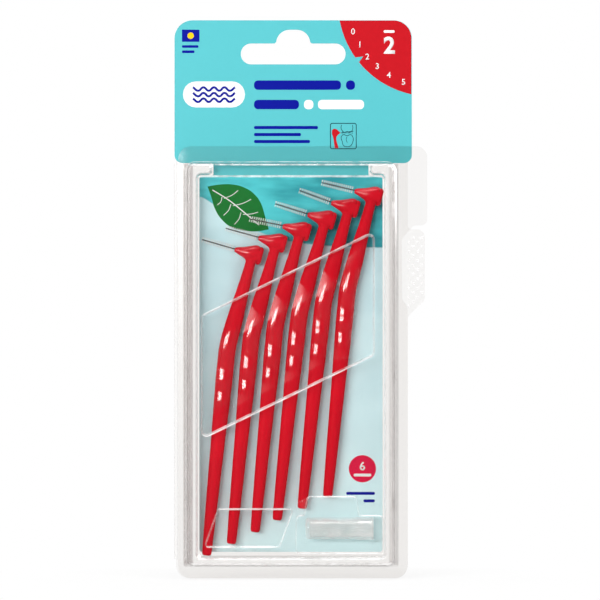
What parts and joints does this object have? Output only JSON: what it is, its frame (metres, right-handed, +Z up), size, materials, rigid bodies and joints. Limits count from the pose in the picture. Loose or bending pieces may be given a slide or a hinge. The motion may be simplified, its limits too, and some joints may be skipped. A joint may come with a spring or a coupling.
{
  "type": "interdental brush set",
  "caption": "Angled interdental brushes with bent moulded handles, held on a printed hanging card in a hinged clear case that opens like a book, with a loose protective cap.",
  "frame": {"origin": "centre of the card's hang slot, on the card's back face", "axes": "+X to the viewer's right, +Y away from the viewer, towards the wall the pack hangs on, +Z up"},
  "size_m": [0.0912, 0.0102, 0.2008],
  "materials": {
    "printed_card": "coated printed board",
    "clear_sheet": "clear formed sheet",
    "clear_cap": "clear moulded",
    "red_plastic": "glossy moulded",
    "twisted_wire": "twisted and coated",
    "filaments": "translucent filament"
  },
  "bodies": {
    "case_back": {"back_shell": "clear_sheet", "insert_card": "printed_card"},
    "case_front": {"front_shell": "clear_sheet"},
    "cap": {"protective_cap": "clear_cap"},
    "brush_1": {"brush_1_handle": "red_plastic", "brush_1_head_cover": "red_plastic", "brush_1_wire": "twisted_wire", "brush_1_bristles": "filaments"},
    "brush_2": {"brush_2_handle": "red_plastic", "brush_2_head_cover": "red_plastic", "brush_2_wire": "twisted_wire", "brush_2_bristles": "filaments"},
    "brush_3": {"brush_3_handle": "red_plastic", "brush_3_head_cover": "red_plastic", "brush_3_wire": "twisted_wire", "brush_3_bristles": "filaments"},
    "brush_4": {"brush_4_handle": "red_plastic", "brush_4_head_cover": "red_plastic", "brush_4_wire": "twisted_wire", "brush_4_bristles": "filaments"},
    "brush_5": {"brush_5_handle": "red_plastic", "brush_5_head_cover": "red_plastic", "brush_5_wire": "twisted_wire", "brush_5_bristles": "filaments"},
    "brush_6": {"brush_6_handle": "red_plastic", "brush_6_head_cover": "red_plastic", "brush_6_wire": "twisted_wire", "brush_6_bristles": "filaments"}
  },
  "joints": [
    {"name": "front_shell_swing", "type": "hinge", "parent": "case_back", "child": "case_front", "pos_m": [-0.04217, -0.00028, -0.11095], "axis": [0, 0, -1], "range_deg": [0, 170]},
    {"name": "brush_1_lift", "type": "slide", "parent": "case_back", "child": "brush_1", "axis": [0, -1, 0], "range_m": [0, 0.02]},
    {"name": "brush_2_lift", "type": "slide", "parent": "case_back", "child": "brush_2", "axis": [0, -1, 0], "range_m": [0, 0.02]},
    {"name": "brush_3_lift", "type": "slide", "parent": "case_back", "child": "brush_3", "axis": [0, -1, 0], "range_m": [0, 0.02]},
    {"name": "brush_4_lift", "type": "slide", "parent": "case_back", "child": "brush_4", "axis": [0, -1, 0], "range_m": [0, 0.02]},
    {"name": "brush_5_lift", "type": "slide", "parent": "case_back", "child": "brush_5", "axis": [0, -1, 0], "range_m": [0, 0.02]},
    {"name": "brush_6_lift", "type": "slide", "parent": "case_back", "child": "brush_6", "axis": [0, -1, 0], "range_m": [0, 0.02]},
    {"name": "cap_lift", "type": "slide", "parent": "case_back", "child": "cap", "axis": [0, -1, 0], "range_m": [0, 0.02]}
  ],
  "couplings": [
    {"joint": "brush_1_lift", "follows": "front_shell_swing", "m_per_rad": 0.0065},
    {"joint": "brush_2_lift", "follows": "front_shell_swing", "m_per_rad": 0.0065},
    {"joint": "brush_3_lift", "follows": "front_shell_swing", "m_per_rad": 0.0065},
    {"joint": "brush_4_lift", "follows": "front_shell_swing", "m_per_rad": 0.0065},
    {"joint": "brush_5_lift", "follows": "front_shell_swing", "m_per_rad": 0.0065},
    {"joint": "brush_6_lift", "follows": "front_shell_swing", "m_per_rad": 0.0065},
    {"joint": "cap_lift", "follows": "front_shell_swing", "m_per_rad": 0.0065}
  ]
}
